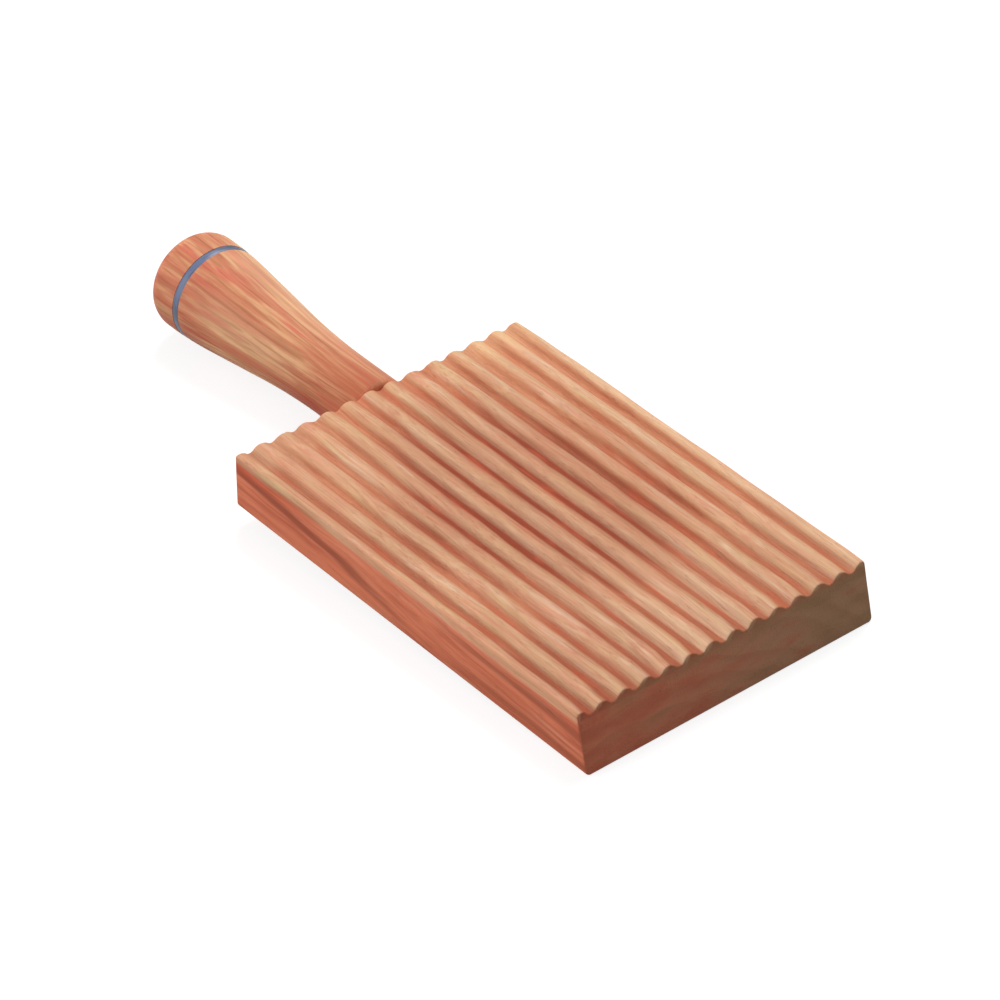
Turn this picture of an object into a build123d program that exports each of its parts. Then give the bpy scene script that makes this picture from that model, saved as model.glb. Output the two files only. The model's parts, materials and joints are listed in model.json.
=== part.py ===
from build123d import *
from math import acos, atan, atan2, degrees, hypot, radians, sin, tan
import os

# Gnocchi board: a block of wood with lengthwise ridges on its top, and a turned handle that a
# hidden dowel joins to one end of the block.
#
# Lengths are in millimetres. Each piece is drawn with the block level: X runs along the ridges
# with the handle on the -X side, Y runs across them, and Z is up from the block's underside, with
# zero under the middle of its crests. The handle's bulb is thicker than the block, so on a table
# the board stands on the foot of its square end and on the bulb. The last step leans the pieces
# to lie that way, and puts the origin on the table under the middle of the whole.

# Block
board_length = 100.5  # along the crests
board_width = 70.0
board_thickness = 12.7  # from the underside to the crests
foot_length = 3.1  # the square end is cut on a slope, and its foot stands out by this much
groove_count = 13
groove_depth = 1.5
crest_share = 0.65  # of the sum of the crest's and the groove's radius, the crest's part
side_edge_radius = 0.8  # long edges beside the outermost crests
base_edge_radius = 1.0  # long edges of the underside
end_edge_radius = 0.35  # all edges round the two ends

# Handle, a turned piece whose long outline is lines and arcs that meet tangent
neck_radius = 7.2
neck_length = 11.5  # from the block to the cove
neck_end_radius = 1.2  # rounded edge of the flat end, so that the grooves run out over it
cove_reach = 9.5  # from the neck's end to the corner that the cove rounds
taper_length = 31.0  # along the axis, between the corners that the cove and the swell round
swell_reach = 6.3  # from the second of these corners to the shoulder, where the butt begins
bulb_radius = 10.75
butt_corner_radius = 4.25
butt_crown_radius = 30.0

# Lacquer band, in a shallow turned groove that follows the handle's outline
band_setback = 5.8  # from the shoulder to the middle of the band
band_groove_width = 1.7
band_groove_depth = 0.45
band_recess = 0.12  # the lacquer stays this far below the wood
band_clearance = 0.02

# Dowel joint between the two
dowel_diameter = 6.0
dowel_length = 40.0  # half of it in each piece
dowel_bevel = 0.8
dowel_clearance = 0.05  # all round, for glue
glue_room = 1.0  # at the bottom of each bore
mouth_bevel = 0.5  # countersink of each bore's mouth
flute_count = 12
flute_radius = 0.45
flute_depth = 0.3

cut_overrun = 5.0  # how far each cutting shape runs past the wood
quarter_turn = 90
half_turn = 180

# Worked out from the sizes above
groove_pitch = (board_width - 2 * side_edge_radius) / groove_count
flank_angle = 2 * atan(2 * groove_depth / groove_pitch)
ridge_radii = groove_pitch / 2 / sin(flank_angle)
crest_radius = crest_share * ridge_radii
groove_radius = ridge_radii - crest_radius

axis_height = (board_thickness - groove_depth) / 2  # the middle of the wood under the grooves
neck_end = neck_length + cove_reach
taper_end = neck_end + taper_length
shoulder = taper_end + swell_reach
half_taper_angle = atan2(bulb_radius - neck_radius, taper_length) / 2
cove_radius = cove_reach / tan(half_taper_angle)
swell_radius = swell_reach / tan(half_taper_angle)
butt_radii = butt_crown_radius - butt_corner_radius
butt_corner_angle = degrees(acos((bulb_radius - butt_corner_radius) / butt_radii))
butt_length = butt_crown_radius - butt_radii * sin(radians(butt_corner_angle))
handle_length = shoulder + butt_length


def at_the_joint(shape):
    """Places a shape, drawn along +X from the handle's flat end, where handle and block meet."""
    return Pos(-board_length / 2, 0, axis_height) * Rot(0, 0, half_turn) * shape


def ridge_line(start):
    """Crests and grooves across the block, from the top of the first crest to that of the last."""
    turn = degrees(flank_angle)
    arcs = [JernArc(start, (1, 0), crest_radius, -turn)]
    for groove in range(groove_count):
        arcs.append(JernArc(arcs[-1] @ 1, arcs[-1] % 1, groove_radius, 2 * turn))
        crest_turn = turn if groove == groove_count - 1 else 2 * turn
        arcs.append(JernArc(arcs[-1] @ 1, arcs[-1] % 1, crest_radius, -crest_turn))
    return arcs


def cross_section():
    """The block cut across, closed by rounded sides and a flat underside."""
    side = board_width / 2
    start = (-side + side_edge_radius, board_thickness)
    ridges = ridge_line(start)
    right_edge = JernArc(ridges[-1] @ 1, (1, 0), side_edge_radius, -quarter_turn)
    right_side = Line(right_edge @ 1, (side, base_edge_radius))
    right_foot = JernArc(right_side @ 1, (0, -1), base_edge_radius, -quarter_turn)
    underside = Line(right_foot @ 1, (-side + base_edge_radius, 0))
    left_foot = JernArc(underside @ 1, (-1, 0), base_edge_radius, -quarter_turn)
    left_side = Line(left_foot @ 1, (-side, board_thickness - side_edge_radius))
    left_edge = RadiusArc(left_side @ 1, start, side_edge_radius)
    closing = [right_edge, right_side, right_foot, underside, left_foot, left_side, left_edge]
    return make_face(ridges + closing)


def long_section():
    """The block seen from its side, with the sloped square end, drawn past the crests."""
    far_end = -board_length / 2
    near_end = board_length / 2
    slope = foot_length / board_thickness
    top = board_thickness + cut_overrun
    outline = Polyline(
        (far_end, -cut_overrun),
        (near_end + foot_length + slope * cut_overrun, -cut_overrun),
        (near_end - slope * cut_overrun, top),
        (far_end, top),
        close=True,
    )
    return make_face(outline)


def dowel_bore():
    """A blind bore along +X for half of the dowel, with a countersunk mouth at zero."""
    radius = dowel_diameter / 2 + dowel_clearance
    depth = dowel_length / 2 + glue_room
    outline = Polyline(
        (-cut_overrun, 0),
        (-cut_overrun, radius + mouth_bevel),
        (0, radius + mouth_bevel),
        (mouth_bevel, radius),
        (depth, radius),
        (depth, 0),
        close=True,
    )
    return revolve(make_face(outline), Axis.X)


def make_ridged_board():
    """The ridged block: one section along it and one across it, its worn ends, and the bore."""
    reach = board_length / 2 + foot_length + cut_overrun
    ridged_bar = extrude(Plane.YZ * cross_section(), reach, both=True)
    end_cut = extrude(Plane.XZ * long_section(), board_width, both=True)
    block = ridged_bar & end_cut
    ends = block.faces().sort_by(Axis.X)
    block = fillet(ends[0].edges() + ends[-1].edges(), end_edge_radius)
    return block - at_the_joint(Rot(0, 0, half_turn) * dowel_bore())


def handle_section():
    """Half of the handle cut along its axis, with X from its flat end and Y out from the axis."""
    rim = JernArc((0, neck_radius - neck_end_radius), (0, 1), neck_end_radius, -quarter_turn)
    neck = Line(rim @ 1, (neck_length, neck_radius))
    cove = JernArc(neck @ 1, (1, 0), cove_radius, degrees(2 * half_taper_angle))
    swell = JernArc((shoulder, bulb_radius), (-1, 0), swell_radius, degrees(2 * half_taper_angle))
    taper = Line(cove @ 1, swell @ 1)
    corner = JernArc(swell @ 0, (1, 0), butt_corner_radius, -butt_corner_angle)
    crown = RadiusArc(corner @ 1, (handle_length, 0), butt_crown_radius)
    axis = Line((handle_length, 0), (0, 0))
    flat_end = Line((0, 0), rim @ 0)
    return make_face([rim, neck, cove, taper, swell, corner, crown, axis, flat_end])


def skin(width, outer_depth, inner_depth):
    """Half section of a ring under the handle's surface at the band, between two depths."""
    strip = Pos(shoulder - band_setback, 0) * Rectangle(width, 2 * bulb_radius + cut_overrun)
    piece = handle_section() & strip
    return Pos(0, -outer_depth) * piece - Pos(0, -inner_depth) * piece


def make_handle():
    """The turned handle, with the band's groove and its bore for the dowel."""
    groove = skin(band_groove_width, 0, band_groove_depth)
    turned = revolve(handle_section() - groove, Axis.X)
    return at_the_joint(turned - dowel_bore())


def make_blue_band():
    """The lacquer in the turned groove, just below the wood on both sides of it."""
    ring = skin(
        band_groove_width - 2 * band_clearance,
        band_recess,
        band_groove_depth - band_clearance,
    )
    return at_the_joint(revolve(ring, Axis.X))


def make_dowel():
    """A fluted dowel pin with bevelled ends, half in the block and half in the handle."""
    pin = Cylinder(dowel_diameter / 2, dowel_length)
    pin = chamfer(pin.edges().filter_by(GeomType.CIRCLE), dowel_bevel)
    flute_axis_radius = dowel_diameter / 2 + flute_radius - flute_depth
    flute = Cylinder(flute_radius, dowel_length + 2 * cut_overrun)
    pin -= PolarLocations(flute_axis_radius, flute_count) * flute
    return at_the_joint(Rot(0, quarter_turn, 0) * pin)


def resting_lean():
    """Turn about Y, in degrees, that sets the foot of the square end and the bulb on one plane.

    In the long section both are arcs: the foot's rounded edge, and the handle's swell. The lean
    is the one at which the lowest points of the two arcs stand at one height.
    """
    half_foot_angle = atan2(board_thickness, foot_length) / 2
    foot_x = board_length / 2 + foot_length - end_edge_radius / tan(half_foot_angle)
    foot_z = end_edge_radius
    swell_x = -board_length / 2 - shoulder
    swell_z = axis_height - bulb_radius + swell_radius
    along = foot_x - swell_x
    up = foot_z - swell_z
    lean = acos((end_edge_radius - swell_radius) / hypot(up, along)) - atan2(along, up)
    return degrees(lean)


def stand(pieces):
    """Leans the pieces as they lie on a table, with the origin under the middle of the whole."""
    leant = {name: Rot(0, resting_lean(), 0) * piece for name, piece in pieces.items()}
    box = Compound(list(leant.values())).bounding_box()
    return {name: Pos(-box.center().X, 0, -box.min.Z) * piece for name, piece in leant.items()}


pieces = stand(
    {
        "ridged_board": make_ridged_board(),
        "handle": make_handle(),
        "blue_band": make_blue_band(),
        "dowel": make_dowel(),
    }
)
os.makedirs("parts", exist_ok=True)
for name, piece in pieces.items():
    export_step(piece, f"parts/{name}.step")
print("leans by", round(resting_lean(), 4), "degrees; groove pitch", round(groove_pitch, 3), "mm")
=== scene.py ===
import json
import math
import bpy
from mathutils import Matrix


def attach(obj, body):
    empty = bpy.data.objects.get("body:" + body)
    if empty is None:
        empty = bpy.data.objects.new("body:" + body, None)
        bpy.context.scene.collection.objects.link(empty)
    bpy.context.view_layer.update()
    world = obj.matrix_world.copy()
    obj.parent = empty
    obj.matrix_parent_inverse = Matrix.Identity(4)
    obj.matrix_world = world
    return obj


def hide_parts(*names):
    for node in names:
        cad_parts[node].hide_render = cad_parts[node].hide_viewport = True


bl_info = {
    "name": "Gnocchi Board",
    "version": (1, 0, 0),
    "blender": (4, 5, 0),
    "location": "3D View > Sidebar > Gnocchi Board",
    "description": "Makes a ridged wooden gnocchi board with a turned handle, and its stage",
    "category": "Add Mesh",
}

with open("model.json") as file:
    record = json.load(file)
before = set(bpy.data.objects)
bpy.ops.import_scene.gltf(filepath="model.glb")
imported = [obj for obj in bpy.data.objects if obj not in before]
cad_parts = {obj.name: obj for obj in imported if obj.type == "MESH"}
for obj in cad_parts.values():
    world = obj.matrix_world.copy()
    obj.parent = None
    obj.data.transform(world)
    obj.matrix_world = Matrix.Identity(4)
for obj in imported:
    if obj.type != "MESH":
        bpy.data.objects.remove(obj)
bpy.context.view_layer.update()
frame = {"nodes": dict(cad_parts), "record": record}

import bmesh
import bpy
from bpy.props import FloatProperty, FloatVectorProperty, IntProperty, PointerProperty
from mathutils import Matrix, Vector

# Lengths are in metres, as everywhere in Blender. Each piece is drawn with the block level: X runs
# along the ridges with the handle on the -X side, Y runs across them, and Z is up from the block's
# underside, with zero under the middle of the crests. level_to_rest then turns and moves it to the
# way it lies on a table, with the block leaning a little towards its square end.
MM = 0.001


def srgb(red, green, blue):
    """The linear colour of a screen colour, each part from 0 to 255."""
    parts = [part / 255 for part in (red, green, blue)]
    return tuple(
        part / 12.92 if part < 0.04045 else ((part + 0.055) / 1.055) ** 2.4 for part in parts
    )


def corners(node, turn):
    """Lowest and highest corner of a solid once it is turned."""
    points = [turn @ vertex.co for vertex in frame["nodes"][node].data.vertices]
    return Vector(map(min, zip(*points))), Vector(map(max, zip(*points)))


# The lean and the main sizes, read off the solids
underside_normal = frame["record"]["mounts"][0]["axis"]
lean = math.atan2(-underside_normal[0], -underside_normal[2])
levelled = Matrix.Rotation(-lean, 4, "Y")
block_low, block_high = corners("ridged_board", levelled)
handle_low, handle_high = corners("handle", levelled)
foot_length = 3.1 * MM  # the square end is cut on a slope, and its foot stands out by this much
block_width = block_high.y - block_low.y
block_thickness = block_high.z - block_low.z
block_length = block_high.x - block_low.x - foot_length
bulb_radius = (handle_high.y - handle_low.y) / 2
axis_height = (handle_low.z + handle_high.z) / 2 - block_low.z
middle_of_crests = Vector((block_low.x + block_length / 2, 0, block_low.z))
level_to_rest = Matrix.Rotation(lean, 4, "Y") @ Matrix.Translation(middle_of_crests)
joint_x = -block_length / 2  # where handle and block meet


def length_setting(description, millimetres):
    return FloatProperty(description=description, default=millimetres * MM, unit="LENGTH")


def colour_setting(description, *screen_colour):
    default = srgb(*screen_colour)
    return FloatVectorProperty(description=description, default=default, subtype="COLOR")


class BlockSettings(bpy.types.PropertyGroup):
    """Sizes and colours of the ridged block."""

    groove_count: IntProperty(description="Grooves across the block", default=13)
    groove_depth: length_setting("From crest to groove", 1.5)
    crest_share: FloatProperty(
        description="Part of the crest's and groove's radii together that is the crest's",
        default=0.65,
        subtype="FACTOR",
    )
    top_edge: length_setting("Rounding beside the outermost crests", 0.8)
    base_edge: length_setting("Rounding along the underside", 1.0)
    end_edge: length_setting("Rounding round both ends", 0.35)
    wear: length_setting("How far the crests are worn down in places", 0.24)
    far_wear: length_setting("Wear of the crests at the handle", 0.42)
    near_wear: length_setting("Wear of the crests at the square end", 0.26)
    wander: length_setting("How far a ridge strays from its straight line", 0.2)
    seed: IntProperty(description="Picks the wear and the depths", default=7)
    crest_colour: colour_setting("Worn pale wood on the crests", 226, 180, 138)
    pink_colour: colour_setting("Pinkish streaks on the crests", 230, 166, 132)
    straw_colour: colour_setting("Yellowish streaks on the crests", 228, 192, 144)
    faded_colour: colour_setting("Grooves towards the edges", 220, 145, 106)
    groove_colour: colour_setting("Red-brown grooves in the middle", 158, 70, 42)
    side_colour: colour_setting("Wood on the long sides", 240, 140, 104)
    streak_colour: colour_setting("Dark late wood in the grain", 150, 70, 46)
    end_colour: colour_setting("Dark wood across the ends", 228, 142, 108)


class HandleSettings(bpy.types.PropertyGroup):
    """Sizes and colours of the turned handle."""

    neck_radius: length_setting("Radius beside the block", 7.2)
    neck_length: length_setting("From the block to the cove", 11.5)
    neck_end_radius: length_setting("Rounded edge of the flat end", 1.2)
    cove_reach: length_setting("Half of the hollow curve's length", 9.5)
    taper_length: length_setting("Between the middles of both curves", 31.0)
    swell_reach: length_setting("Half of the bulging curve's length", 6.3)
    corner_radius: length_setting("Rounding at the butt", 4.25)
    crown_radius: length_setting("Radius of the domed butt", 30.0)
    wood_colour: colour_setting("Orange-brown wood", 224, 146, 108)
    dark_colour: colour_setting("Late wood in the grain", 170, 86, 58)
    pale_colour: colour_setting("Yellowish early wood", 246, 194, 144)
    pink_colour: colour_setting("Pinkish wood", 228, 130, 104)


class BandSettings(bpy.types.PropertyGroup):
    """Sizes and colours of the lacquer band."""

    setback: length_setting("From the shoulder to the middle of the band", 5.8)
    groove_width: length_setting("Width of the turned groove in the handle", 1.7)
    groove_depth: length_setting("Depth of the turned groove in the handle", 0.45)
    recess: length_setting("How far the lacquer's edges stay below the wood", 0.1)
    crown: length_setting("How far the lacquer's middle rises over its edges", 0.08)
    clearance: length_setting("Between lacquer and groove", 0.02)
    lacquer_colour: colour_setting("Slate blue", 106, 120, 154)
    # also the painted shade at the band's far side and below
    thin_and_shaded_colour: colour_setting("Where the lacquer is thin", 80, 90, 114)


class DowelSettings(bpy.types.PropertyGroup):
    """Sizes and colours of the dowel joint."""

    bore_radius: length_setting("Radius of both bores", 3.05)
    bore_depth: length_setting("Depth of both bores", 21.0)
    mouth_bevel: length_setting("Countersink of both bores", 0.5)
    wood_colour: colour_setting("Pale birch", 222, 190, 146)


class StageSettings(bpy.types.PropertyGroup):
    """Where the camera stands, and the light."""

    azimuth: FloatProperty(default=math.radians(-39.65), subtype="ANGLE")
    elevation: FloatProperty(default=math.radians(37.42), subtype="ANGLE")
    distance: length_setting("From the camera to its aim", 905.0)
    aim_left: length_setting("From the block's middle to the aim", 8.46)
    aim_up: length_setting("From the block's middle to the aim", 11.1)
    lens: FloatProperty(description="In millimetres", default=172.1)
    key_level: FloatProperty(description="Light of the main lamp", default=0.74)
    fill_level: FloatProperty(description="Light of the second lamp", default=0.5)
    sky_level: FloatProperty(description="Light from all round", default=0.31)
    paper_grey: FloatProperty(description="Grey of the floor's paper", default=0.35)


SETTINGS = {
    "block": BlockSettings,
    "handle": HandleSettings,
    "band": BandSettings,
    "dowel": DowelSettings,
    "stage": StageSettings,
}


def settings(part):
    """The settings of one part of the scene."""
    return getattr(bpy.context.scene, "gnocchi_" + part)


class Field:
    """One output of a node. Arithmetic on it adds Math nodes to its tree."""

    def __init__(self, graph, socket):
        self.graph = graph
        self.socket = socket

    def __add__(self, other):
        return self.graph.math("ADD", self, other)

    def __sub__(self, other):
        return self.graph.math("SUBTRACT", self, other)

    def __rsub__(self, other):
        return self.graph.math("SUBTRACT", other, self)

    def __mul__(self, other):
        return self.graph.math("MULTIPLY", self, other)

    def __truediv__(self, other):
        return self.graph.math("DIVIDE", self, other)

    def __pow__(self, other):
        return self.graph.math("POWER", self, other)

    def __gt__(self, other):
        return self.graph.math("GREATER_THAN", self, other)

    __radd__ = __add__
    __rmul__ = __mul__

    def output(self, name):
        """Another output of the same node."""
        return Field(self.graph, self.graph.find(self.socket.node.outputs, name))


class Graph:
    """Adds nodes to one shader or geometry tree."""

    def __init__(self, tree):
        self.tree = tree

    def find(self, sockets, key):
        """A socket by its place, its identifier or its name."""
        if isinstance(key, int):
            return sockets[key]
        named = [socket for socket in sockets if socket.identifier == key]
        named += [socket for socket in sockets if socket.name == key and socket.enabled]
        return named[0]

    def feed(self, socket, value):
        """Links a field to a socket, or sets the socket to a plain value."""
        if isinstance(value, Field):
            self.tree.links.new(value.socket, socket)
        else:
            socket.default_value = value

    def node(self, kind, options=None, inputs=None):
        """A node of any type, with its options set first and then its sockets."""
        made = self.tree.nodes.new(kind)
        for name, value in (options or {}).items():
            setattr(made, name, value)
        for key, value in (inputs or {}).items():
            self.feed(self.find(made.inputs, key), value)
        return Field(self, made.outputs[0])

    def math(self, operation, *values):
        return self.node("ShaderNodeMath", {"operation": operation}, dict(enumerate(values)))

    def step(self, value, low, high):
        """0 below low and 1 above high, with a smooth change between them."""
        limits = {"From Min": low, "From Max": high, "Value": value}
        return self.node("ShaderNodeMapRange", {"interpolation_type": "SMOOTHSTEP"}, limits)

    def fade(self, value, low, high):
        """1 below low and 0 above high, with a smooth change between them."""
        return 1 - self.step(value, low, high)

    def blend(self, factor, first, second):
        """Numbers: first where the factor is 0, second where it is 1."""
        return first + (second - first) * factor

    def mix(self, factor, first, second):
        """Colours: first where the factor is 0, second where it is 1."""
        options = {"data_type": "RGBA", "blend_type": "MIX", "clamp_factor": True}
        sockets = {"Factor_Float": factor, "A_Color": colour(first), "B_Color": colour(second)}
        return self.node("ShaderNodeMix", options, sockets).output("Result_Color")

    def layers(self, base, *layers):
        """A colour under others, each given as how much of it shows and the colour."""
        for share, shade in layers:
            base = self.mix(share, base, shade)
        return base

    def vector(self, x, y, z):
        return self.node("ShaderNodeCombineXYZ", None, {"X": x, "Y": y, "Z": z})

    def split(self, vector):
        """The three parts of a vector."""
        parts = self.node("ShaderNodeSeparateXYZ", None, {"Vector": vector})
        return parts, parts.output("Y"), parts.output("Z")

    def noise(self, place, size, seed, detail=2.0):
        """Smooth noise about 0.5, its features as long, wide and high as the size says."""
        shrunk = self.node("ShaderNodeVectorMath", {"operation": "DIVIDE"}, {0: place, 1: size})
        sockets = {"Vector": shrunk, "W": seed, "Scale": 1.0, "Detail": detail}
        return self.node("ShaderNodeTexNoise", {"noise_dimensions": "4D"}, sockets)


# Screen colours of single touches in the wood, some of them painted light and shade
TOUCHES = {
    "bleached groove": (220, 172, 136),
    "groove on the far side": (238, 172, 130),
    "red heartwood": (208, 98, 66),
    "palest crest": (244, 210, 180),
    "red line": (208, 128, 98),
    "darker crest in the middle": (200, 140, 102),
    # painted highlight on the crests of the far side
    "painted highlight on the far crests": (246, 206, 164),
    # painted highlight on the crests at the far corner
    "painted highlight on the back corner crests": (248, 208, 150),
    # painted highlight on the near flank of the ridges
    "painted highlight on the near flank": (250, 208, 172),
    # painted highlight at the far corner
    "painted highlight at the back corner": (246, 198, 152),
    "long edge": (246, 176, 136),
    "broad side streak": (196, 94, 64),
    "pale side streak": (248, 172, 140),
    "pale strip": (250, 152, 118),
    "red strip": (222, 100, 70),
    "pore": (112, 50, 34),
    # painted light, which lifts the shade in the crease where the neck meets the block
    "painted light in the neck crease": (255, 170, 130),
    "end grain on the far side": (194, 148, 114),
    "end ring": (150, 92, 66),
    "red end grain": (210, 104, 78),
    "olive end grain": (166, 128, 88),
    "end pore": (96, 54, 38),
    "brown streak": (200, 142, 98),
    "handle pore": (120, 54, 34),
    "early wood of the butt": (222, 136, 106),
    "late wood of the butt": (184, 98, 74),
    # painted highlight on the far side of the handle, and wear where the palm holds it
    "wear and painted highlight on the handle": (255, 202, 160),
    "blush": (224, 112, 90),
    "darker_top": (196, 116, 84),
    "dark neck": (184, 84, 56),
    # painted shade on the underside of the handle
    "painted shade under the handle": (168, 74, 50),
    # painted shadow under the neck, at the block
    "painted shadow under the neck": (104, 58, 46),
    "birch ring": (186, 146, 100),
    "birch fibre": (170, 128, 84),
}


def colour(value):
    """A colour with its alpha, from a touch's name or its parts. A field stays as it is."""
    if isinstance(value, str):
        value = srgb(*TOUCHES[value])
    return value if isinstance(value, Field) else (*value, 1.0)


class Finish(Graph):
    """A material with one Principled shader, and places in the level block's millimetres."""

    def __init__(self, name):
        self.material = bpy.data.materials.new(name)
        self.material.use_nodes = True
        super().__init__(self.material.node_tree)
        self.shader = self.tree.nodes["Principled BSDF"]
        place = {
            "Vector": self.node("ShaderNodeTexCoord").output("Object"),
            "Location": level_to_rest.translation,
            "Rotation": (0, lean, 0),
            "Scale": (MM, MM, MM),
        }
        self.place = self.node("ShaderNodeMapping", {"vector_type": "TEXTURE"}, place)

    def set(self, **sockets):
        """Sets or links sockets of the shader. A name's underscores stand for spaces."""
        for name, value in sockets.items():
            self.feed(self.shader.inputs[name.replace("_", " ")], value)
        return self.material

    def bump(self, height, distance):
        """A normal for a height from 0 to 1 that stands for a distance in metres."""
        return self.node("ShaderNodeBump", None, {"Height": height, "Distance": distance})


class Grain:
    """The grain of one piece of wood, whose fibres run along X.

    pith is the place of the tree's heart across the piece, in millimetres, ring the mean width of a
    year's growth, slope the fibres' rise to a millimetre of length, and sway how far they wander.
    place stands in for the piece's own places where the fibres are drawn together.
    """

    def __init__(self, finish, pith, ring, slope, sway, seed, place=None):
        self.finish = finish
        self.seed = seed
        self.ring = ring
        if place is None:
            place = finish.place
        x, y, z = finish.split(place)
        drift = finish.noise(place, (60, 20, 20), seed)
        swing = finish.noise(place, (48, 14, 14), seed + 1)
        self.across = y + (drift - 0.5) * sway
        self.up = z + (swing - 0.5) * sway - x * slope
        self.fibres = finish.vector(x, self.across, self.up)
        side = self.across - pith[0]
        height = self.up - pith[1]
        self.radius = (side * side + height * height) ** 0.5

    def rings(self):
        """Late wood: 0 in the early wood of each year, rising to 1 before it ends."""
        finish = self.finish
        outwards = finish.vector(self.radius, 0, 0)
        uneven = finish.noise(outwards, (2 * self.ring, 1, 1), self.seed + 2, detail=1.0)
        season = finish.math("FRACT", self.radius / self.ring + uneven * 1.8)
        return finish.step(season, 0.2, 0.85) * finish.fade(season, 0.85, 1.0)

    def streaks(self, length, width, seed, low=0.35, high=0.7):
        """Streaks along the fibres, of one length and width in millimetres."""
        noise = self.finish.noise(self.fibres, (length, width, width), self.seed + seed)
        return self.finish.step(noise, low, high)

    def pores(self):
        """Short dark vessels in the wood, 1 in each and 0 between them."""
        return self.streaks(3.2, 0.17, 9.0, 0.6, 0.72)

    def late_band(self, up, width):
        """One dark band along the fibres, at a height of theirs and of a width in millimetres."""
        off = self.finish.math("ABSOLUTE", self.up - up)
        return self.finish.fade(off, width * 0.2, width)


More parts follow.
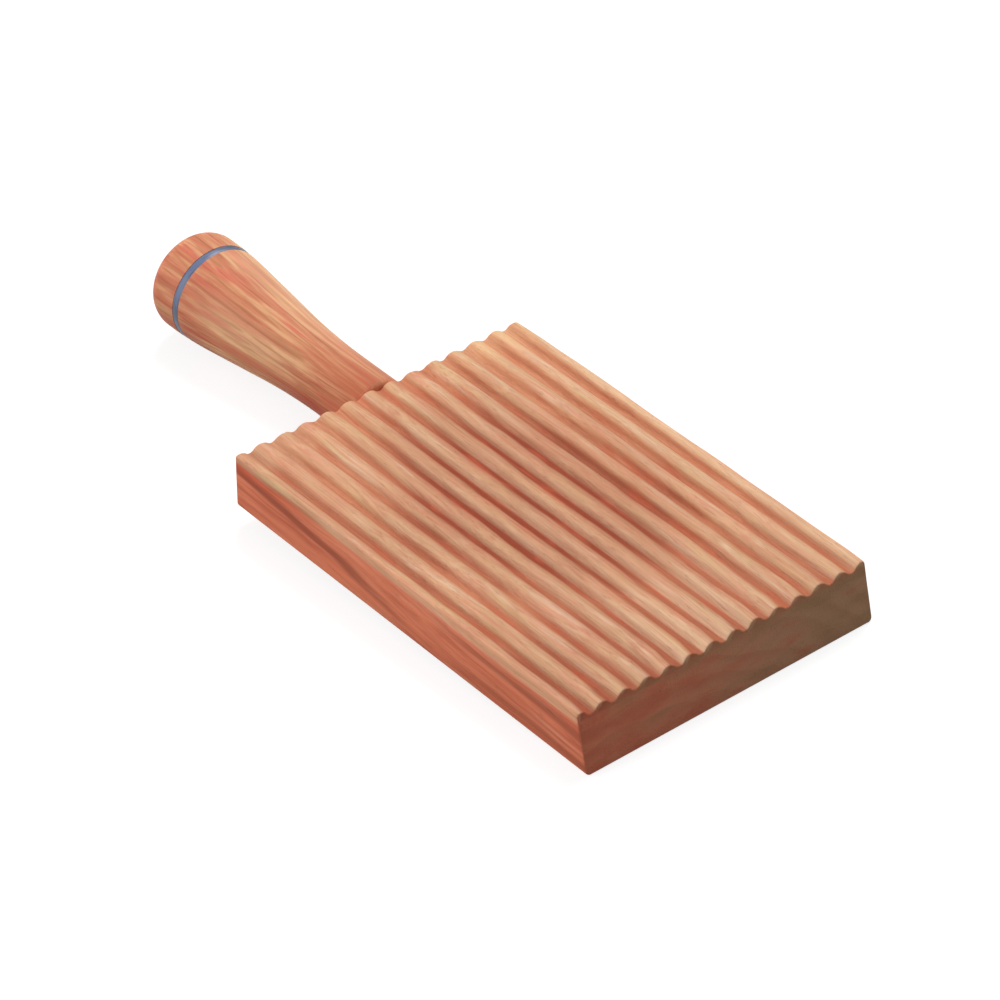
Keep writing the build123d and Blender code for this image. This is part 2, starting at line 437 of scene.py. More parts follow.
def board_wood(options):
    """Reddish hardwood: pale worn crests, red-brown grooves and sides, and dark end grain."""
    finish = Finish("board_wood")
    grain = Grain(finish, pith=(-22.0, -58.0), ring=4.4, slope=-0.06, sway=6.0, seed=3.0)
    x, y, z = finish.split(finish.place)
    length = block_length / MM
    width = block_width / MM
    thickness = block_thickness / MM
    depth = options.groove_depth / MM
    foot = foot_length / MM
    fine = grain.streaks(10, 0.3, 8.0, 0.3, 0.75)
    pores = grain.pores()
    rings = grain.rings()
    step, fade = finish.step, finish.fade

    # Height above the grooves, as a share of their depth
    rise = (z - (thickness - depth)) / depth
    long_edge = step(finish.math("ABSOLUTE", y), width / 2 - 1.2, width / 2 - 0.3)
    long_edge = long_edge * (0.2 + step(x, -34, -4) * 0.8)
    blotch = finish.noise(grain.fibres, (22, 2.6, 2.6), 11.0)

    # One flank of each ridge is painted paler than the other, as painted light: the near one in the
    # middle of the board and at the square end, and the far one on the far side. Where the near
    # flank is the paler one, each crest's far shoulder gets painted shade and the near flank a
    # painted highlight
    turn = 2 * math.pi * options.groove_count / (width - 2 * options.top_edge / MM)
    phase = (y + (width / 2 - options.top_edge / MM)) * turn
    painted_light_side = 1 - step(y, 8, 20) - fade(y, -28, -10) * 0.5
    painted_light_side = painted_light_side * (0.2 + step(x, -44, -22) * 0.8)
    near_end = 0.7 + step(y, -20, -8) * 0.6 - step(y, 4, 20) * 0.7
    painted_light_side = finish.math("MAXIMUM", painted_light_side, near_end * step(x, 12, 34))
    far_side = step(y, 10, 22) * fade(x, -4, 14)
    painted_light_side = painted_light_side - far_side * (1 - step(x, -50, -34) * 0.4)
    # painted light: the pale crest is shifted towards one flank
    flank = finish.math("SINE", phase) * painted_light_side * -0.36
    near_flank = finish.math("MAXIMUM", painted_light_side, 0)
    # painted shade on the far shoulder of each crest
    shoulder = step(finish.math("SINE", phase + 0.9), 0.3, 1) * near_flank
    # painted highlight on the near flank
    painted_highlight_flank = step(finish.math("SINE", phase - 2.85), 0.4, 1) * near_flank**3
    crest = step(rise + (blotch - 0.5) * 0.6 + long_edge + flank, 0.12, 0.82)
    top = step(rise + (blotch - 0.5) * 0.5, -0.5, -0.1)

    # The grooves are darker in the middle of the board, at the square end and at one edge
    ahead = (x + 4) / 39
    aside = (y - 1) / 30
    reach = (ahead * ahead + aside * aside) ** 0.5 + (blotch - 0.5) * 0.5
    middle = fade(reach, 0.45, 1.15)
    square_end = step(x, 14, 36) * (0.48 - y * 0.008)
    edge = fade(y, -31, -28) * 0.4
    tone = finish.math("MAXIMUM", finish.math("MAXIMUM", middle, square_end), edge)
    groove = finish.layers(
        finish.mix(tone, options.faded_colour, options.groove_colour),
        (fade(x, -46, -26) * fade(y, -28, -6) * 0.6, "bleached groove"),
        (far_side * 0.45, "groove on the far side"),
        (grain.streaks(16, 0.9, 4.0) * 0.3, options.streak_colour),
        (grain.streaks(12, 2.4, 15.0, 0.5, 0.66) * (0.3 + tone * 0.25), "red heartwood"),
    )
    # painted highlight at the far corner, the one towards the main lamp
    back_corner_highlight = fade(x, -50, -38) * step(y, 12, 24)
    pale = finish.layers(
        options.crest_colour,
        (grain.streaks(18, 1.5, 5.0), options.pink_colour),
        (grain.streaks(26, 2.0, 6.0, 0.48, 0.72) * 0.8, options.straw_colour),
        (grain.streaks(20, 1.2, 10.0, 0.5, 0.75) * 0.7, "palest crest"),
        (grain.streaks(24, 0.5, 16.0, 0.52, 0.64) * 0.4, "red line"),
        (middle * 0.5, "darker crest in the middle"),
        # painted highlight on the crests of the far side
        (step(y, 24, 34) * 0.6, "painted highlight on the far crests"),
        (back_corner_highlight * 0.6, "painted highlight on the back corner crests"),
    )
    ridges = finish.layers(
        groove,
        # the crests' far shoulders are kept darker here, as painted shade, and the near flanks get
        # a painted highlight
        (crest - shoulder * 0.35, pale),
        (painted_highlight_flank * 0.3, "painted highlight on the near flank"),
        (back_corner_highlight * 0.4, "painted highlight at the back corner"),
        (long_edge * 0.5, "long edge"),
    )

    # The long sides show the grain from its edge, in broad sloping streaks
    far_band = grain.late_band(6.2 - (x + 42) * 0.06, 1.8) * (1.3 - step(x, -20, 8) * 1.1)
    near_bands = finish.math("MAXIMUM", grain.late_band(4.6, 1.5), grain.late_band(10.4, 1.3))
    near_bands = near_bands * step(x, 4, 30)
    sides = finish.layers(
        options.side_colour,
        (grain.streaks(36, 2.2, 7.0, 0.42, 0.66) * 0.7, "broad side streak"),
        (grain.streaks(24, 1.1, 12.0, 0.52, 0.8) * 0.6, "pale side streak"),
        (far_band * 0.6 + near_bands * 0.6, options.streak_colour),
        (step(z, 9.6, 11) * step(x, -34, 0) * 0.85, "pale strip"),
        (step(z, 8, 10) * fade(x, -46, -24) * 0.6, "red strip"),
    )

    # End grain, on the sloped square end and at the handle
    slope_end = step(x + z * (foot / thickness) - (length / 2 + foot), -0.22, -0.02)
    handle_end = fade(x + length / 2, 0.02, 0.22)
    ridge_ends = step(z, thickness - 3, thickness - 1)
    patch = finish.noise(finish.place, (9, 11, 3), 21.0, detail=4.0)
    rim = step(z, thickness - 5, thickness - 1) * 0.16
    speck = finish.noise(finish.place, (2, 0.22, 0.22), 23.0, detail=1.0)
    end_grain = finish.layers(
        options.end_colour,
        (step(y, -34, 30), "end grain on the far side"),
        (rings * 0.18, "end ring"),
        (step(patch - y * 0.005, 0.45, 0.72) * 0.6, "red end grain"),
        (step(0.52 - patch + y * 0.003 + rim, 0, 0.26) * 0.55, "olive end grain"),
        (step(speck, 0.55, 0.75) * 0.3, "end pore"),
    )
    wood = finish.layers(
        sides,
        (top, ridges),
        (fine * 0.2 + rings * 0.1, options.streak_colour),
        (pores * 0.3, "pore"),
        # painted light along the top of the end at the handle, in the crease with the neck
        (handle_end * ridge_ends * 0.6, "painted light in the neck crease"),
        (finish.math("MAXIMUM", slope_end, handle_end * (1 - ridge_ends)), end_grain),
    )
    roughness = 0.56 + fine * 0.1 + (1 - crest) * 0.06
    normal = finish.bump(fine * 0.5 + rings * 0.2 + (1 - pores) * 0.3, 0.06 * MM)
    return finish.set(
        Base_Color=wood, Roughness=roughness, Normal=normal, Specular_IOR_Level=0.18
    )


def handle_wood(options):
    """Orange-brown wood, turned and sanded, with yellowish and pinkish streaks."""
    finish = Finish("handle_wood")
    step, fade = finish.step, finish.fade
    x, y, z = finish.split(finish.place)
    along = joint_x / MM - x
    up = z - axis_height / MM

    # The fibres draw in towards the neck, as the handle does
    slim = 0.7 + step(along, 6, 54) * 0.3
    drawn_in = finish.vector(x, y / slim, up / slim)
    grain = Grain(finish, (72.0, 60.0), ring=3.4, slope=0.0, sway=2.6, seed=31.0, place=drawn_in)
    fine = grain.streaks(12, 0.3, 8.0, 0.3, 0.75)
    pores = grain.pores()
    rings = grain.rings()

    # The far side is painted paler, as a painted highlight, and use has worn the near side paler
    # where the palm holds it. The top is darker, the underside gets painted shade, and the neck is
    # darker and redder at the block, with a painted shadow under it
    painted_highlight_side = step(y, -1, 4) * (0.4 - step(along, 46, 56) * 0.34)
    grip = step(along, 12, 28) * fade(along, 40, 54)
    palm = step(y * -1, 3, 8) * step(up, -2, 3)
    # darker along the top of the handle
    darker_top = step(up / slim, 6.5, 9) * fade(y, -1, 2) * (0.5 - step(along, 14, 26) * 0.3)
    # how strong the painted shade on the underside is, along the handle
    underside_shade = 0.85 - step(along, 12, 30) * 0.65 + step(along, 40, 50) * 0.3
    # painted shadow in the corner under the neck, where it meets the block
    neck_shadow = fade(along, 1, 8) * fade(up, -4, 1) * step(y * -1, 0, 4)

    # The butt shows the grain from its end, softer and in rings
    butt_grain = finish.mix(rings, "early wood of the butt", "late wood of the butt")
    wood = finish.layers(
        options.wood_colour,
        (grain.streaks(24, 1.8, 5.0, 0.4, 0.6), options.pale_colour),
        (grain.streaks(18, 1.6, 6.0, 0.48, 0.66), options.pink_colour),
        (grain.streaks(15, 1.3, 7.0, 0.5, 0.66) * 0.85, "brown streak"),
        (grain.streaks(26, 0.7, 12.0, 0.48, 0.7) * 0.55 + rings * 0.22, options.dark_colour),
        (fine * 0.13, options.dark_colour),
        (pores * 0.25, "handle pore"),
        (step(along, 57, 62) * 0.7, butt_grain),
        # painted highlight on the far side, and wear where the palm holds it
        (painted_highlight_side + palm * grip * 0.24, "wear and painted highlight on the handle"),
        (palm * step(along, 38, 50) * 0.34, "blush"),
        # darker along the top
        (darker_top, "darker_top"),
        (fade(along, 0, 22) * 0.5, "dark neck"),
        # painted shade on the underside
        (fade(up, -2, 2.5) * underside_shade, "painted shade under the handle"),
        # painted light on the neck's rounded rim, in the crease at the block
        (fade(along, 0.2, 1.2) * 0.4, "painted light in the neck crease"),
        # painted shadow under the neck
        (neck_shadow * 0.6, "painted shadow under the neck"),
    )
    normal = finish.bump(fine * 0.5 + rings * 0.2 + (1 - pores) * 0.3, 0.05 * MM)
    return finish.set(
        Base_Color=wood, Roughness=0.52 + fine * 0.12, Normal=normal, Specular_IOR_Level=0.15
    )


def blue_lacquer(options):
    """Satin lacquer, brushed on while the handle turned, thinner in patches, and darker at the far
    side and below as painted shade.
    """
    finish = Finish("blue_lacquer")
    uneven = finish.noise(finish.place, (0.5, 3, 3), 51.0, detail=3.0)
    _, y, z = finish.split(finish.place)
    # painted shade where the band turns away, at its far side and below, added to the patches of
    # thin lacquer
    sides = finish.step(y, -2, 6) + finish.fade(z, 4, 11)
    thin = finish.step(uneven + sides * 0.3, 0.45, 0.8)
    shade = finish.mix(thin, options.lacquer_colour, options.thin_and_shaded_colour)
    normal = finish.bump(uneven, 0.03 * MM)
    return finish.set(Base_Color=shade, Roughness=0.34 + uneven * 0.15, Normal=normal)


def dowel_wood(options):
    """Pale birch, with fine fibres."""
    finish = Finish("dowel_wood")
    grain = Grain(finish, pith=(9.0, -12.0), ring=1.8, slope=0.0, sway=3.0, seed=61.0)
    fine = grain.streaks(7, 0.25, 3.0)
    rings = (grain.rings() * 0.4, "birch ring")
    wood = finish.layers(options.wood_colour, rings, (fine * 0.3, "birch fibre"))
    normal = finish.bump(fine, 0.03 * MM)
    return finish.set(Base_Color=wood, Roughness=0.55 + fine * 0.1, Normal=normal)


class RidgedBlockTree(Graph):
    """Geometry Nodes for the block: one groove, repeated across it, swept along it and worn."""

    points_per_groove = 30
    arc_points = 6
    side_points = 9
    base_points = 18
    bore_points = 48
    ring_count = 132
    end_rings = 5  # rings in the rounding of each end
    end_face_area = 60 * MM * MM  # a larger face is a flat end
    weld_distance = 0.001 * MM
    shallowest = 0.9  # depth of the shallowest groove, as a share of the full depth

    def __init__(self, values):
        """values holds a value for each named input, which tells the input's kind."""
        tree = bpy.data.node_groups.new("ridged_block", "GeometryNodeTree")
        super().__init__(tree)
        self.sockets = {}
        tree.interface.new_socket("Geometry", in_out="OUTPUT", socket_type="NodeSocketGeometry")
        kinds = {int: "NodeSocketInt", float: "NodeSocketFloat"}
        for name, value in values.items():
            kind = kinds.get(type(value), "NodeSocketMaterial")
            socket = tree.interface.new_socket(name, in_out="INPUT", socket_type=kind)
            self.sockets[name] = socket.identifier
        self.group = tree.nodes.new("NodeGroupInput")
        self.build()

    def given(self, name):
        """One of the tree's named inputs."""
        return Field(self, self.group.outputs[name])

    def build(self):
        block = self.swept_block(self.section())
        block = self.worn(block)
        block = self.bored(block)
        block = self.shaded(block)
        block = self.node("GeometryNodeRealizeInstances", None, {"Geometry": block})
        sockets = {"Geometry": block, "Material": self.given("Material")}
        block = self.node("GeometryNodeSetMaterial", None, sockets)
        out = self.tree.nodes.new("NodeGroupOutput")
        self.feed(out.inputs["Geometry"], block)

    def one_groove(self):
        """The outline of one groove, from crest top to crest top, as tangent arcs."""
        pitch = self.given("Pitch")
        steps = self.points_per_groove
        line = self.node(
            "GeometryNodeMeshLine",
            {"mode": "OFFSET"},
            {"Count": steps + 1, "Offset": self.vector(pitch / steps, 0, 0)},
        )
        x, _, _ = self.split(self.node("GeometryNodeInputPosition"))
        half = pitch / 2
        from_crest = half - self.math("ABSOLUTE", x - half)
        from_middle = half - from_crest
        crest = self.given("Crest radius")
        groove = self.given("Groove radius")
        crest_drop = crest - self.math("SQRT", crest * crest - from_crest * from_crest)
        groove_lift = groove - self.math("SQRT", groove * groove - from_middle * from_middle)
        groove_drop = self.given("Depth") - groove_lift
        in_groove = from_crest > self.given("Crest reach")
        drop = self.blend(in_groove, crest_drop, groove_drop)
        sockets = {"Geometry": line, "Position": self.vector(x, drop * -1, 0)}
        return self.node("GeometryNodeSetPosition", None, sockets)

    def grooves(self):
        """All grooves side by side, each of its own depth, on top of the block."""
        start = self.given("Top edge") - self.given("Width") / 2
        sockets = {
            "Count": self.given("Grooves"),
            "Start Location": self.vector(start, self.given("Thickness"), 0),
            "Offset": self.vector(self.given("Pitch"), 0, 0),
        }
        places = self.node("GeometryNodeMeshLine", {"mode": "OFFSET"}, sockets)
        limits = {"Min_001": self.shallowest, "Max_001": 1.0, "Seed": self.given("Seed")}
        depths = self.node("FunctionNodeRandomValue", {"data_type": "FLOAT"}, limits)
        sockets = {
            "Points": places,
            "Instance": self.one_groove(),
            "Scale": self.vector(1, depths.output("Value_001"), 1),
        }
        copies = self.node("GeometryNodeInstanceOnPoints", None, sockets)
        return self.node("GeometryNodeRealizeInstances", None, {"Geometry": copies})

    def arc(self, x, y, radius, start):
        """A quarter circle round a corner of the section, clockwise from a start angle."""
        sockets = {
            "Resolution": self.arc_points,
            "Radius": radius,
            "Start Angle": math.radians(start),
            "Sweep Angle": math.radians(-90),
        }
        arc = self.node("GeometryNodeCurveArc", {"mode": "RADIUS"}, sockets)
        edges = self.node("GeometryNodeCurveToMesh", None, {"Curve": arc})
        sockets = {"Geometry": edges, "Translation": self.vector(x, y, 0)}
        return self.node("GeometryNodeTransform", None, sockets)

    def line(self, start, end, count):
        """A straight side of the section, cut into steps."""
        sockets = {"Count": count, "Start Location": start, "Offset": end}
        return self.node("GeometryNodeMeshLine", {"mode": "END_POINTS"}, sockets)

    def section(self):
        """The closed outline of the block cut across, with X across the block and Y up."""
        half = self.given("Width") / 2
        top = self.given("Thickness")
        edge = self.given("Top edge")
        base = self.given("Base edge")
        right = [self.vector(half, top - edge, 0), self.vector(half, base, 0)]
        below = [self.vector(half - base, 0, 0), self.vector(base - half, 0, 0)]
        left = [self.vector(half * -1, base, 0), self.vector(half * -1, top - edge, 0)]
        pieces = [
            self.grooves(),
            self.arc(half - edge, top - edge, edge, 90),
            self.line(*right, self.side_points),
            self.arc(half - base, base, base, 0),
            self.line(*below, self.base_points),
            self.arc(base - half, base, base, -90),
            self.line(*left, self.side_points),
            self.arc(edge - half, top - edge, edge, 180),
        ]
        joined = self.tree.nodes.new("GeometryNodeJoinGeometry")
        for piece in reversed(pieces):
            self.tree.links.new(piece.socket, joined.inputs[0])
        sockets = {"Geometry": Field(self, joined.outputs[0]), "Distance": self.weld_distance}
        welded = self.node("GeometryNodeMergeByDistance", None, sockets)
        outline = self.node("GeometryNodeMeshToCurve", None, {"Mesh": welded})
        place = self.node("GeometryNodeInputPosition")
        return self.store(outline, "section", "FLOAT_VECTOR", place)

    def store(self, geometry, name, kind, value):
        """Keeps a value with each point under a name."""
        options = {"data_type": kind, "domain": "POINT"}
        sockets = {"Geometry": geometry, "Name": name, "Value": value}
        return self.node("GeometryNodeStoreNamedAttribute", options, sockets)

    def named(self, name, kind):
        return self.node("GeometryNodeInputNamedAttribute", {"data_type": kind}, {"Name": name})

    def moved(self, geometry, **sockets):
        return self.node("GeometryNodeSetPosition", None, {"Geometry": geometry, **sockets})

    def swept_block(self, section):
        """The section swept along the block, with its rings drawn in round both ends."""
        last = self.ring_count - 1
        path = self.node("GeometryNodeCurvePrimitiveLine", {"mode": "POINTS"}, {"End": (1, 0, 0)})
        sockets = {"Curve": path, "Count": self.ring_count}
        path = self.node("GeometryNodeResampleCurve", None, sockets)
        path = self.store(path, "ring", "FLOAT", self.node("GeometryNodeInputIndex"))
        sockets = {"Curve": path, "Profile Curve": section, "Fill Caps": True}
        block = self.node("GeometryNodeCurveToMesh", None, sockets)
        block = self.node("GeometryNodeFlipFaces", None, {"Mesh": block})

        ring = self.named("ring", "FLOAT")
        from_end = self.math("MINIMUM", self.math("MINIMUM", ring, last - ring), self.end_rings)
        turn = from_end * (math.pi / 2 / self.end_rings)
        edge = self.given("End edge")
        setback = edge * (1 - self.math("COSINE", turn))
        inset = edge * (1 - self.math("SINE", turn))
        middle = (ring - self.end_rings) / (last - 2 * self.end_rings)
        share = self.math("MINIMUM", self.math("MAXIMUM", middle, 0), 1)
        half = self.given("Length") / 2
        across, up, _ = self.split(self.named("section", "FLOAT_VECTOR"))
        foot = self.given("Foot") * (1 - up / self.given("Thickness")) * share
        x = self.blend(share, setback - half, half - setback) + foot
        block = self.moved(block, Position=self.vector(x, across, up))

        normal = self.node("GeometryNodeInputNormal")
        options = {"operation": "MULTIPLY"}
        outward = self.node("ShaderNodeVectorMath", options, {0: normal, 1: (0, 1, 1)})
        outward = self.node("ShaderNodeVectorMath", {"operation": "NORMALIZE"}, {0: outward})
        sockets = {0: outward, "Scale": inset * -1}
        inwards = self.node("ShaderNodeVectorMath", {"operation": "SCALE"}, sockets)
        return self.moved(block, Offset=inwards)

    def worn(self, block):
        """Ridges that stray a little, with crests worn down in places and towards both ends."""
        patch_size = (14 * MM, 4 * MM, 20 * MM)
        bend_size = (30 * MM, 7 * MM, 60 * MM)
        end_patch_size = (9 * MM, 6 * MM, 30 * MM)
        far_reach = 9 * MM  # how far from the ends of the block their wear begins
        near_reach = 5 * MM
        overrun = 1 * MM  # the wear of the square end is still growing at its edge
        place = self.node("GeometryNodeInputPosition")
        x, _, z = self.split(place)
        depth = self.given("Depth")
        top = self.given("Thickness")
        half = self.given("Length") / 2
        seed = self.given("Seed")
        patches = self.noise(place, patch_size, seed, detail=3.0)
        worn = self.step(patches, 0.42, 0.72) * self.given("Wear")
        uneven = 0.4 + self.noise(place, end_patch_size, seed + 2) * 1.2
        far = self.step(x, far_reach - half, half * -1) * self.given("Far wear")
        near = self.step(x, half - near_reach, half + overrun) * self.given("Near wear")
        height = self.step(z, top - depth, top)
        down = (worn + (far + near) * uneven) * height * -1
        bend = self.noise(place, bend_size, seed + 1) - 0.5
        in_ridge = self.step(z, top - depth * 2, top - depth)
        aside = bend * in_ridge * 2 * self.given("Wander")
        return self.moved(block, Offset=self.vector(0, aside, down))

    def bored(self, block):
        """The blind bore for the dowel in the end that meets the handle."""
        sockets = {
            "Vertices": self.bore_points,
            "Radius": self.given("Bore radius"),
            "Depth": self.given("Bore depth") * 2,
        }
        drill = self.node("GeometryNodeMeshCylinder", None, sockets)
        sockets = {
            "Geometry": drill,
            "Rotation": (0, math.radians(90), 0),
            "Translation": self.vector(self.given("Length") / -2, 0, self.given("Bore height")),
        }
        drill = self.node("GeometryNodeTransform", None, sockets)
        options = {"operation": "DIFFERENCE", "solver": "EXACT"}
        cut = self.node("GeometryNodeMeshBoolean", options, {"Mesh 1": block})
        self.feed(cut.socket.node.inputs["Mesh 2"], drill)
        return cut

    def shaded(self, block):
        """Smooth faces, but for the large flat ones at both ends."""
        sockets = {"A": self.node("GeometryNodeInputMeshFaceArea"), "B": self.end_face_area}
        small = self.node("FunctionNodeCompare", {"operation": "LESS_THAN"}, sockets)
        for name in ("section", "ring"):
            sockets = {"Geometry": block, "Name": name}
            block = self.node("GeometryNodeRemoveAttribute", None, sockets)
        sockets = {"Geometry": block, "Shade Smooth": small}
        return self.node("GeometryNodeSetShadeSmooth", None, sockets)


def finished(mesh, name, node, material):
    """Lays a mesh that was drawn level as it rests, and puts it in the place of its solid."""
    mesh.transform(level_to_rest)
    piece = bpy.data.objects.new(name, mesh)
    bpy.context.scene.collection.objects.link(piece)
    if not mesh.materials:
        mesh.materials.append(material)
    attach(piece, "root")
    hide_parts(node)


class GNOCCHI_OT_ridged_block(bpy.types.Operator):
    """Makes the ridged block"""

    bl_idname = "gnocchi.ridged_block"
    bl_label = "Ridged Block"

    def execute(self, context):
        options = settings("block")
        dowel = settings("dowel")
        pitch = (block_width - 2 * options.top_edge) / options.groove_count
        flank = 2 * math.atan(2 * options.groove_depth / pitch)
        radii = pitch / 2 / math.sin(flank)
        crest_radius = options.crest_share * radii
        material = board_wood(options)
        values = {
            "Length": block_length,
            "Foot": foot_length,
            "Width": block_width,
            "Thickness": block_thickness,
            "Pitch": pitch,
            "Depth": options.groove_depth,
            "Crest radius": crest_radius,
            "Groove radius": radii - crest_radius,
            "Crest reach": crest_radius * math.sin(flank),
            "Top edge": options.top_edge,
            "Base edge": options.base_edge,
            "End edge": options.end_edge,
            "Wear": options.wear,
            "Far wear": options.far_wear,
            "Near wear": options.near_wear,
            "Wander": options.wander,
            "Bore radius": dowel.bore_radius,
            "Bore depth": dowel.bore_depth,
            "Bore height": axis_height,
            "Grooves": options.groove_count,
            "Seed": options.seed,
            "Material": material,
        }
        tree = RidgedBlockTree(values)
        draft = bpy.data.objects.new("draft_block", bpy.data.meshes.new("draft_block"))
        context.scene.collection.objects.link(draft)
        modifier = draft.modifiers.new("Ridges", "NODES")
        modifier.node_group = tree.tree
        for name, value in values.items():
            modifier[tree.sockets[name]] = value
        graph = context.evaluated_depsgraph_get()
        mesh = bpy.data.meshes.new_from_object(draft.evaluated_get(graph))
        bpy.data.objects.remove(draft)
        if len(mesh.polygons) == 0:
            raise RuntimeError("the ridged block came out empty")
        finished(mesh, "ridged_block", "ridged_board", material)
        return {"FINISHED"}


class Outline:
    """A line drawn from its start with a heading: straight stretches and tangent arcs.

    Its points are pairs, along the handle's axis and out from it. A positive turn is outwards.
    """

    step = 0.35 * MM  # about as far apart as its points are
    fewest_in_arc = 4

    def __init__(self, along, out, heading):
        self.points = [Vector((along, out))]
        self.heading = heading

    def line(self, length):
        count = max(1, round(length / self.step))
        start = self.points[-1].copy()
        way = Vector((math.cos(self.heading), math.sin(self.heading)))
        self.points += [start + way * (length * (i + 1) / count) for i in range(count)]

    def arc(self, radius, turn):
        side = math.copysign(1, turn)
        count = max(self.fewest_in_arc, round(radius * abs(turn) / self.step))
        left = self.heading + side * math.pi / 2
        centre = self.points[-1] + radius * Vector((math.cos(left), math.sin(left)))
        for i in range(count):
            out = left + math.pi + turn * (i + 1) / count
            self.points.append(centre + radius * Vector((math.cos(out), math.sin(out))))
        self.heading += turn


def shoulder_at(options):
    """How far from the block the handle's swell ends and the rounding of its butt begins."""
    return options.neck_length + options.cove_reach + options.taper_length + options.swell_reach


def handle_outline(options):
    """The handle's outer outline from its flat end to the middle of the butt."""
    rise = math.atan2(bulb_radius - options.neck_radius, options.taper_length)
    cove_radius = options.cove_reach / math.tan(rise / 2)
    swell_radius = options.swell_reach / math.tan(rise / 2)
    taper = math.hypot(options.taper_length, bulb_radius - options.neck_radius)
    taper -= options.cove_reach + options.swell_reach
    radii = options.crown_radius - options.corner_radius
    corner_turn = math.acos((bulb_radius - options.corner_radius) / radii)
    rim = options.neck_end_radius
    outline = Outline(0, options.neck_radius - rim, math.pi / 2)
    outline.arc(rim, -math.pi / 2)
    outline.line(options.neck_length - rim)
    outline.arc(cove_radius, rise)
    outline.line(taper)
    outline.arc(swell_radius, -rise)
    outline.arc(options.corner_radius, -corner_turn)
    outline.arc(options.crown_radius, corner_turn - math.pi / 2)
    return outline.points


def radius_at(outline, along):
    """How far out an outline stands at a place along the axis."""
    return next(
        a.y + (b.y - a.y) * (along - a.x) / (b.x - a.x)
        for a, b in zip(outline, outline[1:])
        if a.x <= along <= b.x and a.x < b.x
    )


def lathe(name, section, shape):
    """A body turned round the handle's axis, its section's points moved out or in by shape.

    The section runs from axis to axis, or all round if it doesn't start on the axis.
    """
    segments = 128
    on_axis = 1e-6 * MM
    sharpest_smooth_edge = math.radians(35)
    mesh = bmesh.new()
    rings = []
    for along, out in section:
        centre = Vector((joint_x - along, 0, axis_height))
        if out < on_axis:
            rings.append([mesh.verts.new(centre)])
            continue
        ring = []
        for i in range(segments):
            angle = 2 * math.pi * i / segments
            reach = out + shape(along, out, angle)
            place = centre + reach * Vector((0, math.sin(angle), math.cos(angle)))
            ring.append(mesh.verts.new(place))
        rings.append(ring)
    closed = len(rings[0]) > 1
    following = rings[1:] + rings[:1] if closed else rings[1:]
    for first, second in zip(rings, following):
        for i in range(segments):
            j = (i + 1) % segments
            corner = [first[i % len(first)], first[j % len(first)]]
            corner += [second[j % len(second)], second[i % len(second)]]
            mesh.faces.new(list(dict.fromkeys(corner)))
    bmesh.ops.recalc_face_normals(mesh, faces=mesh.faces)
    made = bpy.data.meshes.new(name)
    mesh.to_mesh(made)
    mesh.free()
    made.shade_smooth()
    made.set_sharp_from_angle(angle=sharpest_smooth_edge)
    return made


class GNOCCHI_OT_turned_handle(bpy.types.Operator):
    """Makes the turned handle, with the groove for the lacquer band"""

    bl_idname = "gnocchi.turned_handle"
    bl_label = "Turned Handle"

    def execute(self, context):
        options = settings("handle")
        band = settings("band")
        dowel = settings("dowel")
        outer = handle_outline(options)
        groove_start = shoulder_at(options) - band.setback - band.groove_width / 2
        groove_end = groove_start + band.groove_width
        before = [p for p in outer if p.x < groove_start]
        inside = [p for p in outer if groove_start < p.x < groove_end]
        after = [p for p in outer if p.x > groove_end]
        start = Vector((groove_start, radius_at(outer, groove_start)))
        end = Vector((groove_end, radius_at(outer, groove_end)))
        depth = Vector((0, band.groove_depth))
        groove = [start, *(p - depth for p in (start, *inside, end)), end]
        mouth = dowel.bore_radius + dowel.mouth_bevel
        bore = [
            Vector((dowel.bore_depth, 0)),
            Vector((dowel.bore_depth, dowel.bore_radius)),
            Vector((dowel.mouth_bevel, dowel.bore_radius)),
            Vector((0, mouth)),
        ]
        section = bore + before + groove + after
        section[-1].y = 0

        def tool_marks(along, out, angle):
            """Faint rings left by the gouge, and a hair out of round, all below the true round."""
            ring_depth = 0.006  # both in millimetres
            out_of_round = 0.015
            if out <= mouth:
                return 0
            rings = math.sin(along / (0.34 * MM)) * math.sin(along / (2.9 * MM))
            oval = math.sin(2 * angle + along / (30 * MM))
            near_joint = min(1, along / (4 * MM))
            return (ring_depth * (rings - 1) + out_of_round * (oval - 1)) * near_joint * MM

        mesh = lathe("turned_handle", section, tool_marks)
        finished(mesh, "turned_handle", "handle", handle_wood(options))
        return {"FINISHED"}


class GNOCCHI_OT_lacquer_band(bpy.types.Operator):
    """Makes the blue lacquer band in its turned groove"""

    bl_idname = "gnocchi.lacquer_band"
    bl_label = "Lacquer Band"

    def execute(self, context):
        options = settings("band")
        handle = settings("handle")
        outer = handle_outline(handle)
        half = options.groove_width / 2 - options.clearance
        middle = shoulder_at(handle) - options.setback
        floor = options.groove_depth - options.clearance
        steps = 12
        top = []
        for i in range(steps + 1):
            share = 2 * i / steps - 1
            along = middle + share * half
            crown = options.crown * (1 - share**4)
            top.append(Vector((along, radius_at(outer, along) - options.recess + crown)))
        bottom = [
            Vector((along, radius_at(outer, along) - floor))
            for along in (middle + half, middle - half)
        ]

        def brushing(along, out, angle):
            """Lacquer that pooled a little as the handle turned."""
            pooled = 0.01 * MM
            return pooled * (math.sin(3 * angle + 0.7) * math.sin(7 * angle) - 1)

        mesh = lathe("lacquer_band", top + bottom, brushing)
        finished(mesh, "lacquer_band", "blue_band", blue_lacquer(options))
        return {"FINISHED"}


class GNOCCHI_OT_dowel(bpy.types.Operator):
    """Gives the dowel its wood. Its solid is kept as it is"""

    bl_idname = "gnocchi.dowel"
    bl_label = "Dowel"

    def execute(self, context):
        dowel = frame["nodes"]["dowel"]
        dowel.data.materials.clear()
        dowel.data.materials.append(dowel_wood(settings("dowel")))
        return {"FINISHED"}


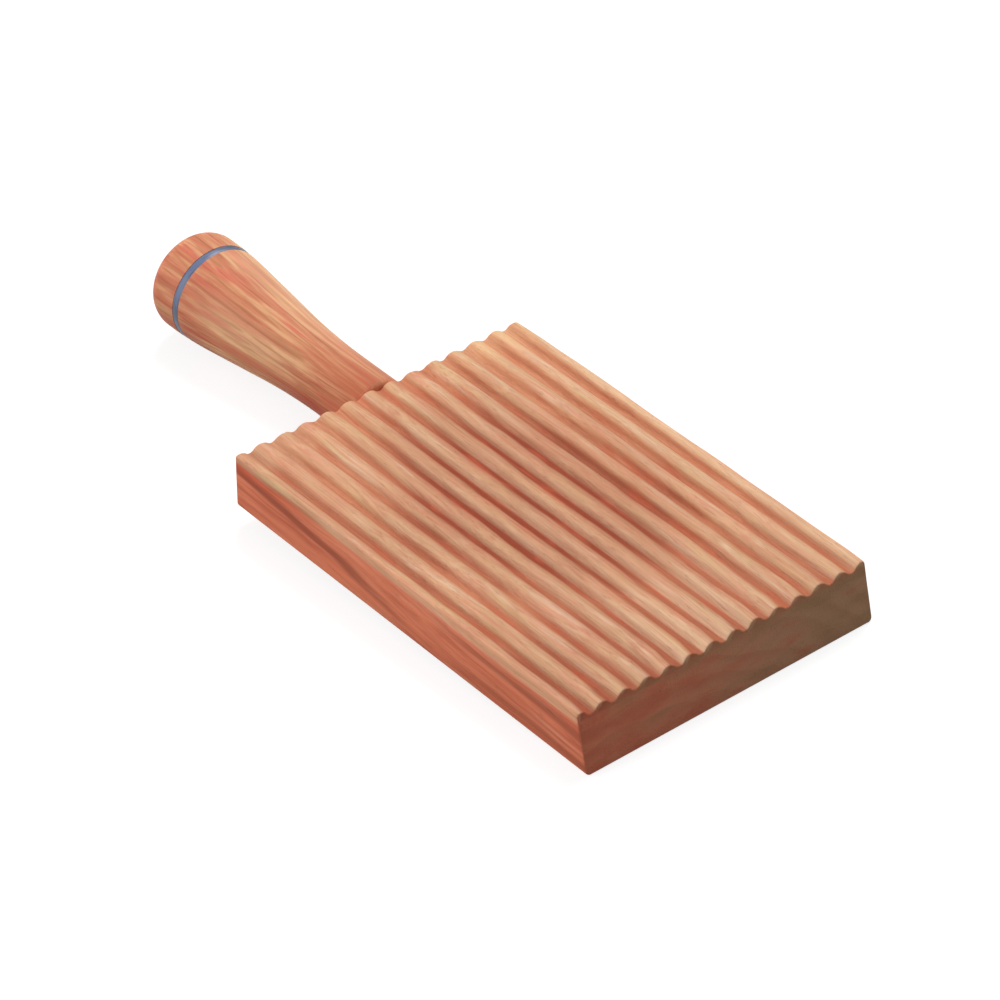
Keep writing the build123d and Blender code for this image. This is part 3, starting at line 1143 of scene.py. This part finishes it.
def lamp(name, direction, distance, size, level):
    """A soft square lamp aimed at the object, as bright there at any distance."""
    data = bpy.data.lights.new(name, "AREA")
    data.size = size
    data.energy = level * (math.pi * distance) ** 2
    made = bpy.data.objects.new(name, data)
    way = Vector(direction).normalized()
    made.location = way * distance
    made.rotation_euler = way.to_track_quat("Z", "Y").to_euler()
    bpy.context.scene.collection.objects.link(made)


def floor_material(grey):
    """Grey paper that keeps the object's shadow and glows up to white for the camera."""
    white = 1.16  # its own light and the glow together, with some to spare
    finish = Finish("white_paper")
    path = finish.node("ShaderNodeLightPath")
    seen = finish.math("MAXIMUM", path, path.output("Is Glossy Ray"))
    finish.set(Base_Color=(grey, grey, grey, 1), Roughness=0.9, Specular_IOR_Level=0.0)
    return finish.set(Emission_Color=(1, 1, 1, 1), Emission_Strength=seen * (white - grey))


def white_world(level):
    """Even light from all round, which the camera sees as white."""
    world = bpy.data.worlds.new("white_surroundings")
    world.use_nodes = True
    bpy.context.scene.world = world
    graph = Graph(world.node_tree)
    path = graph.node("ShaderNodeLightPath")
    background = world.node_tree.nodes["Background"]
    background.inputs["Color"].default_value = (1, 1, 1, 1)
    graph.feed(background.inputs["Strength"], graph.blend(path, level, 1))


class GNOCCHI_OT_stage(bpy.types.Operator):
    """Makes the floor, the lamps and the camera"""

    bl_idname = "gnocchi.stage"
    bl_label = "Stage"

    def execute(self, context):
        options = settings("stage")
        scene = context.scene
        scene.view_settings.view_transform = "Standard"

        floor = bpy.data.meshes.new("paper_floor")
        reach = 3.0  # from its middle to each side
        square = [(-reach, -reach, 0), (reach, -reach, 0), (reach, reach, 0), (-reach, reach, 0)]
        floor.from_pydata(square, [], [(0, 1, 2, 3)])
        floor.materials.append(floor_material(options.paper_grey))
        paper = bpy.data.objects.new("paper_floor", floor)
        scene.collection.objects.link(paper)

        white_world(options.sky_level)
        key = {"direction": (-0.35, 0.5, 0.9), "distance": 1.2, "size": 0.6}
        fill = {"direction": (-0.5, -1.0, 0.5), "distance": 1.4, "size": 1.0}
        lamp("key_lamp", **key, level=options.key_level)
        lamp("fill_lamp", **fill, level=options.fill_level)

        level = math.cos(options.elevation)
        ahead = -Vector(
            (
                math.cos(options.azimuth) * level,
                math.sin(options.azimuth) * level,
                math.sin(options.elevation),
            )
        )
        right = ahead.cross(Vector((0, 0, 1))).normalized()
        up = right.cross(ahead)
        aim = up * options.aim_up - right * options.aim_left
        turn = Matrix((right, up, -ahead)).transposed().to_4x4()
        data = bpy.data.cameras.new("camera")
        data.lens = options.lens
        data.clip_start = 0.01
        camera = bpy.data.objects.new("camera", data)
        scene.collection.objects.link(camera)
        place = Matrix.Translation(aim - ahead * options.distance)
        camera.matrix_world = level_to_rest @ place @ turn
        scene.camera = camera
        return {"FINISHED"}


class GNOCCHI_PT_board(bpy.types.Panel):
    """Lists the pieces of the board and the stage"""

    bl_idname = "GNOCCHI_PT_board"
    bl_label = "Gnocchi Board"
    bl_space_type = "VIEW_3D"
    bl_region_type = "UI"
    bl_category = "Gnocchi Board"

    def draw(self, context):
        for part in SETTINGS:
            box = self.layout.box()
            box.label(text=part.capitalize())
            group = getattr(context.scene, "gnocchi_" + part)
            for name in type(group).__annotations__:
                box.prop(group, name, text=name.replace("_", " ").capitalize())
        for operator in OPERATORS:
            self.layout.operator(operator.bl_idname)


OPERATORS = [
    GNOCCHI_OT_ridged_block,
    GNOCCHI_OT_turned_handle,
    GNOCCHI_OT_lacquer_band,
    GNOCCHI_OT_dowel,
    GNOCCHI_OT_stage,
]
CLASSES = [*SETTINGS.values(), *OPERATORS, GNOCCHI_PT_board]


def register():
    for made in CLASSES:
        bpy.utils.register_class(made)
    for part, group in SETTINGS.items():
        setattr(bpy.types.Scene, "gnocchi_" + part, PointerProperty(type=group))


def unregister():
    for part in SETTINGS:
        delattr(bpy.types.Scene, "gnocchi_" + part)
    for made in reversed(CLASSES):
        bpy.utils.unregister_class(made)


def main():
    register()
    bpy.ops.gnocchi.ridged_block()
    bpy.ops.gnocchi.turned_handle()
    bpy.ops.gnocchi.lacquer_band()
    bpy.ops.gnocchi.dowel()
    bpy.ops.gnocchi.stage()


if __name__ == "__main__":
    main()
